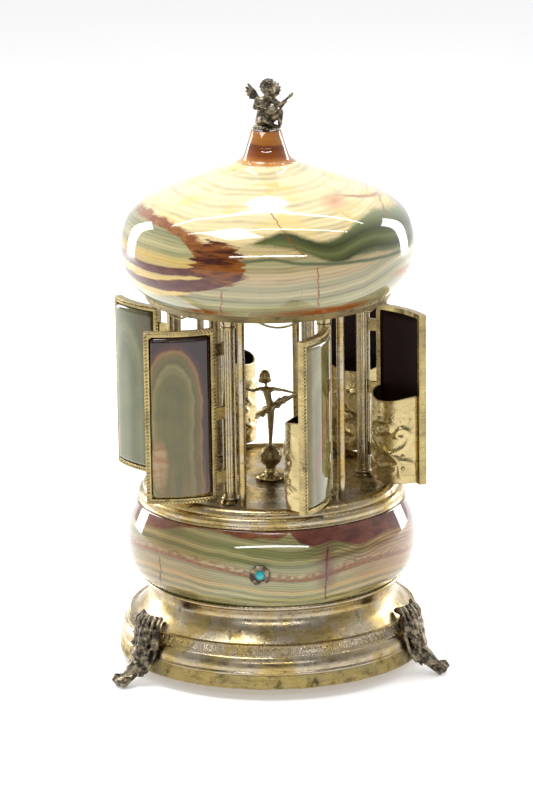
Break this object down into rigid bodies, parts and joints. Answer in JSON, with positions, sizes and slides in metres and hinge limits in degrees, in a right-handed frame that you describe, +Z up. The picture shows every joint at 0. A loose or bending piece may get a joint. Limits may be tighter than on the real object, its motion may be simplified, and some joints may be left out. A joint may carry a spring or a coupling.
{
  "type": "carousel music box",
  "caption": "Onyx and gilt brass musical cigarette carousel: turning the dome swings its doors, and a dancer turns to the movement below.",
  "frame": {"origin": "on the centre line, at the level the three feet stand on", "axes": "+Z up along the centre line, -Y towards the push button, +X to the right of someone facing the button"},
  "size_m": [0.1718, 0.176, 0.2944],
  "materials": {
    "aged_gilt": "worn gilt over brass, tarnished",
    "antique_bronze": "dark antique bronze",
    "onyx_base": "polished banded green and rust onyx",
    "onyx_top": "polished banded cream and rust onyx",
    "onyx_amber": "polished amber onyx",
    "onyx_door": "polished banded olive and red onyx",
    "plain_brass": "plain brass",
    "steel": "plain steel",
    "turquoise": "polished turquoise",
    "figure_gilt": "worn gilt",
    "column_gilt": "worn gilt",
    "door_gilt": "worn gilt",
    "embossed_gilt": "embossed gilt"
  },
  "bodies": {
    "base": {"base_shell": "aged_gilt", "bottom_plate": "plain_brass", "foot_front_left": "antique_bronze", "foot_front_right": "antique_bronze", "foot_rear": "antique_bronze", "onyx_drum": "onyx_base", "button_bezel": "aged_gilt", "carousel_floor": "aged_gilt", "posts": "aged_gilt", "top_plate": "aged_gilt", "pivot_stud": "steel", "garlands": "aged_gilt", "screws": "steel", "lever_post": "steel", "movement_bedplate": "plain_brass", "tone_comb": "steel", "governor_block": "plain_brass", "button_spring": "steel"},
    "dome": {"dome_ring": "aged_gilt", "onyx_dome": "onyx_top", "onyx_finial": "onyx_amber", "dome_cross_bar": "steel", "tie_rod": "steel", "drive_gear": "plain_brass", "cherub": "antique_bronze"},
    "button": {"button_plunger": "plain_brass", "button_cap": "turquoise"},
    "lever": {"stop_lever": "steel"},
    "barrel": {"spring_barrel": "plain_brass", "ballerina": "figure_gilt"},
    "cylinder": {"music_cylinder": "plain_brass"},
    "governor": {"governor_fan": "plain_brass"},
    "key": {"winding_key": "plain_brass"},
    "door_1": {"column_1": "column_gilt", "door_frame_1": "door_gilt", "onyx_panel_1": "onyx_door", "cigarette_holder_1": "embossed_gilt"},
    "door_2": {"column_2": "column_gilt", "door_frame_2": "door_gilt", "onyx_panel_2": "onyx_door", "cigarette_holder_2": "embossed_gilt"},
    "door_3": {"column_3": "column_gilt", "door_frame_3": "door_gilt", "onyx_panel_3": "onyx_door", "cigarette_holder_3": "embossed_gilt"},
    "door_4": {"column_4": "column_gilt", "door_frame_4": "door_gilt", "onyx_panel_4": "onyx_door", "cigarette_holder_4": "embossed_gilt"},
    "door_5": {"column_5": "column_gilt", "door_frame_5": "door_gilt", "onyx_panel_5": "onyx_door", "cigarette_holder_5": "embossed_gilt"},
    "door_6": {"column_6": "column_gilt", "door_frame_6": "door_gilt", "onyx_panel_6": "onyx_door", "cigarette_holder_6": "embossed_gilt"}
  },
  "joints": [
    {"name": "dome_turn", "type": "hinge", "parent": "base", "child": "dome", "pos_m": [0, 0, 0.189], "axis": [0, 0, 1], "range_deg": [0, 26.5]},
    {"name": "door_1_swing", "type": "hinge", "parent": "base", "child": "door_1", "pos_m": [-0.01986, -0.0426, 0.137], "axis": [0, 0, 1], "range_deg": [-53, 0]},
    {"name": "door_2_swing", "type": "hinge", "parent": "base", "child": "door_2", "pos_m": [0.02696, -0.0385, 0.137], "axis": [0, 0, 1], "range_deg": [-53, 0]},
    {"name": "door_3_swing", "type": "hinge", "parent": "base", "child": "door_3", "pos_m": [0.04682, 0.0041, 0.137], "axis": [0, 0, 1], "range_deg": [-53, 0]},
    {"name": "door_4_swing", "type": "hinge", "parent": "base", "child": "door_4", "pos_m": [0.01986, 0.0426, 0.137], "axis": [0, 0, 1], "range_deg": [-53, 0]},
    {"name": "door_5_swing", "type": "hinge", "parent": "base", "child": "door_5", "pos_m": [-0.02696, 0.0385, 0.137], "axis": [0, 0, 1], "range_deg": [-53, 0]},
    {"name": "door_6_swing", "type": "hinge", "parent": "base", "child": "door_6", "pos_m": [-0.04682, -0.0041, 0.137], "axis": [0, 0, 1], "range_deg": [-53, 0]},
    {"name": "button_press", "type": "slide", "parent": "base", "child": "button", "axis": [0.0819, 0.9966, 0], "range_m": [0, 0.0025], "stiffness_N_per_m": 300, "deforming": ["button_spring"]},
    {"name": "stop_lever_turn", "type": "hinge", "parent": "base", "child": "lever", "pos_m": [0.01, -0.046, 0.052], "axis": [0, 0, 1], "range_deg": [-10.1, 0]},
    {"name": "barrel_turn", "type": "hinge", "parent": "base", "child": "barrel", "pos_m": [0, 0, 0.035], "axis": [0, 0, 1], "continuous": true},
    {"name": "cylinder_turn", "type": "hinge", "parent": "base", "child": "cylinder", "pos_m": [0.033, 0, 0.04598], "axis": [1, 0, 0], "continuous": true},
    {"name": "governor_turn", "type": "hinge", "parent": "base", "child": "governor", "pos_m": [0.038, -0.015, 0.04], "axis": [0, 0, 1], "continuous": true},
    {"name": "key_turn", "type": "hinge", "parent": "base", "child": "key", "pos_m": [0, 0, 0.012], "axis": [0, 0, 1], "continuous": true}
  ],
  "couplings": [
    {"joint": "door_1_swing", "follows": "dome_turn", "ratio": -2},
    {"joint": "door_2_swing", "follows": "dome_turn", "ratio": -2},
    {"joint": "door_3_swing", "follows": "dome_turn", "ratio": -2},
    {"joint": "door_4_swing", "follows": "dome_turn", "ratio": -2},
    {"joint": "door_5_swing", "follows": "dome_turn", "ratio": -2},
    {"joint": "door_6_swing", "follows": "dome_turn", "ratio": -2},
    {"joint": "stop_lever_turn", "follows": "button_press", "rad_per_m": -70},
    {"joint": "cylinder_turn", "follows": "barrel_turn", "ratio": 3},
    {"joint": "governor_turn", "follows": "barrel_turn", "ratio": 24}
  ]
}
